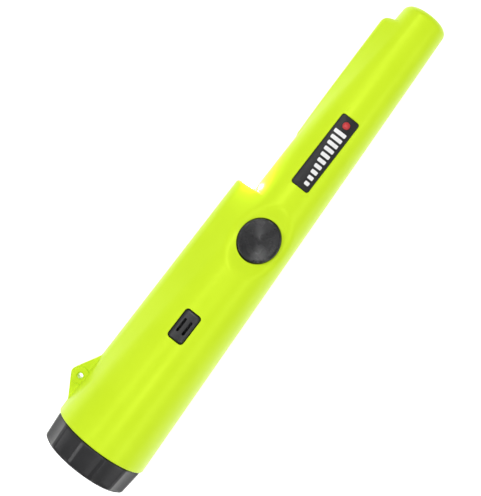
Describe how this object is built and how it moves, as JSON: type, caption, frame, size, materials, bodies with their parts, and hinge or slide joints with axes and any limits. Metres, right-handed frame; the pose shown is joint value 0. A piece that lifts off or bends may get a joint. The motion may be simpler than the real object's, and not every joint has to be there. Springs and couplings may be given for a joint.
{
  "type": "pinpointer probe",
  "caption": "Hand-held metal-detecting pinpointer: tapered two-shell probe with a power button, grip ridge, scraping blade, lamp, lanyard lug and screw-on battery cap.",
  "frame": {"origin": "centre of the battery cap's flat end face", "axes": "+X along the probe from the cap to the sensing tip, +Y towards the lug, lamp and blade side, +Z towards the power button"},
  "size_m": [0.2416, 0.0509, 0.0442],
  "materials": {
    "neon_plastic": "satin neon yellow-green",
    "black_plastic": "satin black",
    "black_rubber": "matt black",
    "plate_plastic": null,
    "lamp_plastic": "clear water-white",
    "plated_steel": "zinc or nickel plated",
    "brass_weight": "sintered",
    "circuit_board": "green solder mask",
    "ferrite": "dark grey sintered ferrite",
    "copper_wire": "enamelled copper",
    "battery_jacket": "plain printed jacket",
    "capacitor_sleeve": "plain sleeve",
    "red_lead": "insulated wire"
  },
  "bodies": {
    "root": {"front_shell": "neon_plastic", "back_shell": "neon_plastic", "speaker_grille": "black_plastic", "name_plate": "plate_plastic", "threaded_collar": "black_plastic", "cap_seal": "black_rubber", "battery_case": "battery_jacket", "battery_plus_stud": "plated_steel", "battery_minus_stud": "plated_steel", "battery_snap": "black_plastic", "red_lead": "red_lead", "black_lead": "black_rubber", "battery_bulkhead": "black_plastic", "main_board": "circuit_board", "main_chip": "black_plastic", "quartz_can": "plated_steel", "audio_amplifier": "black_plastic", "capacitor_1": "capacitor_sleeve", "capacitor_2": "capacitor_sleeve", "tuning_coil": "copper_wire", "button_boot": "black_rubber", "switch_body": "black_plastic", "speaker_gasket": "black_rubber", "piezo_speaker": "black_plastic", "motor_can": "plated_steel", "led_lamp": "lamp_plastic", "led_board": "circuit_board", "ferrite_rod": "ferrite", "coil_bobbin": "black_plastic", "transmit_winding": "copper_wire", "receive_winding": "copper_wire", "rod_cushion": "black_rubber", "shell_screw_1": "plated_steel", "shell_screw_2": "plated_steel", "shell_screw_3": "plated_steel", "shell_screw_4": "plated_steel"},
    "button": {"power_button": "black_plastic"},
    "switch": {"switch_plunger": "black_plastic"},
    "cap_slide": {"cap_pad": "black_rubber"},
    "cap": {"battery_cap": "black_plastic"},
    "motor_rotor": {"motor_shaft": "plated_steel", "motor_weight": "brass_weight"}
  },
  "joints": [
    {"name": "button_press", "type": "slide", "parent": "root", "child": "button", "axis": [0, 0, -1], "range_m": [0, 0.0008], "stiffness_N_per_m": 2500},
    {"name": "switch_press", "type": "slide", "parent": "root", "child": "switch", "axis": [0, 0, -1], "range_m": [0, 0.0008]},
    {"name": "cap_travel", "type": "slide", "parent": "root", "child": "cap_slide", "axis": [-1, 0, 0], "range_m": [0, 0.009]},
    {"name": "cap_turn", "type": "hinge", "parent": "cap_slide", "child": "cap", "pos_m": [0, 0, 0], "axis": [-1, 0, 0], "range_deg": [0, 540]},
    {"name": "motor_spin", "type": "hinge", "parent": "root", "child": "motor_rotor", "pos_m": [0.1, 0, 0.0053], "axis": [1, 0, 0], "continuous": true}
  ],
  "couplings": [
    {"joint": "switch_press", "follows": "button_press", "ratio": 1},
    {"joint": "cap_travel", "follows": "cap_turn", "m_per_rad": 0.000954}
  ]
}
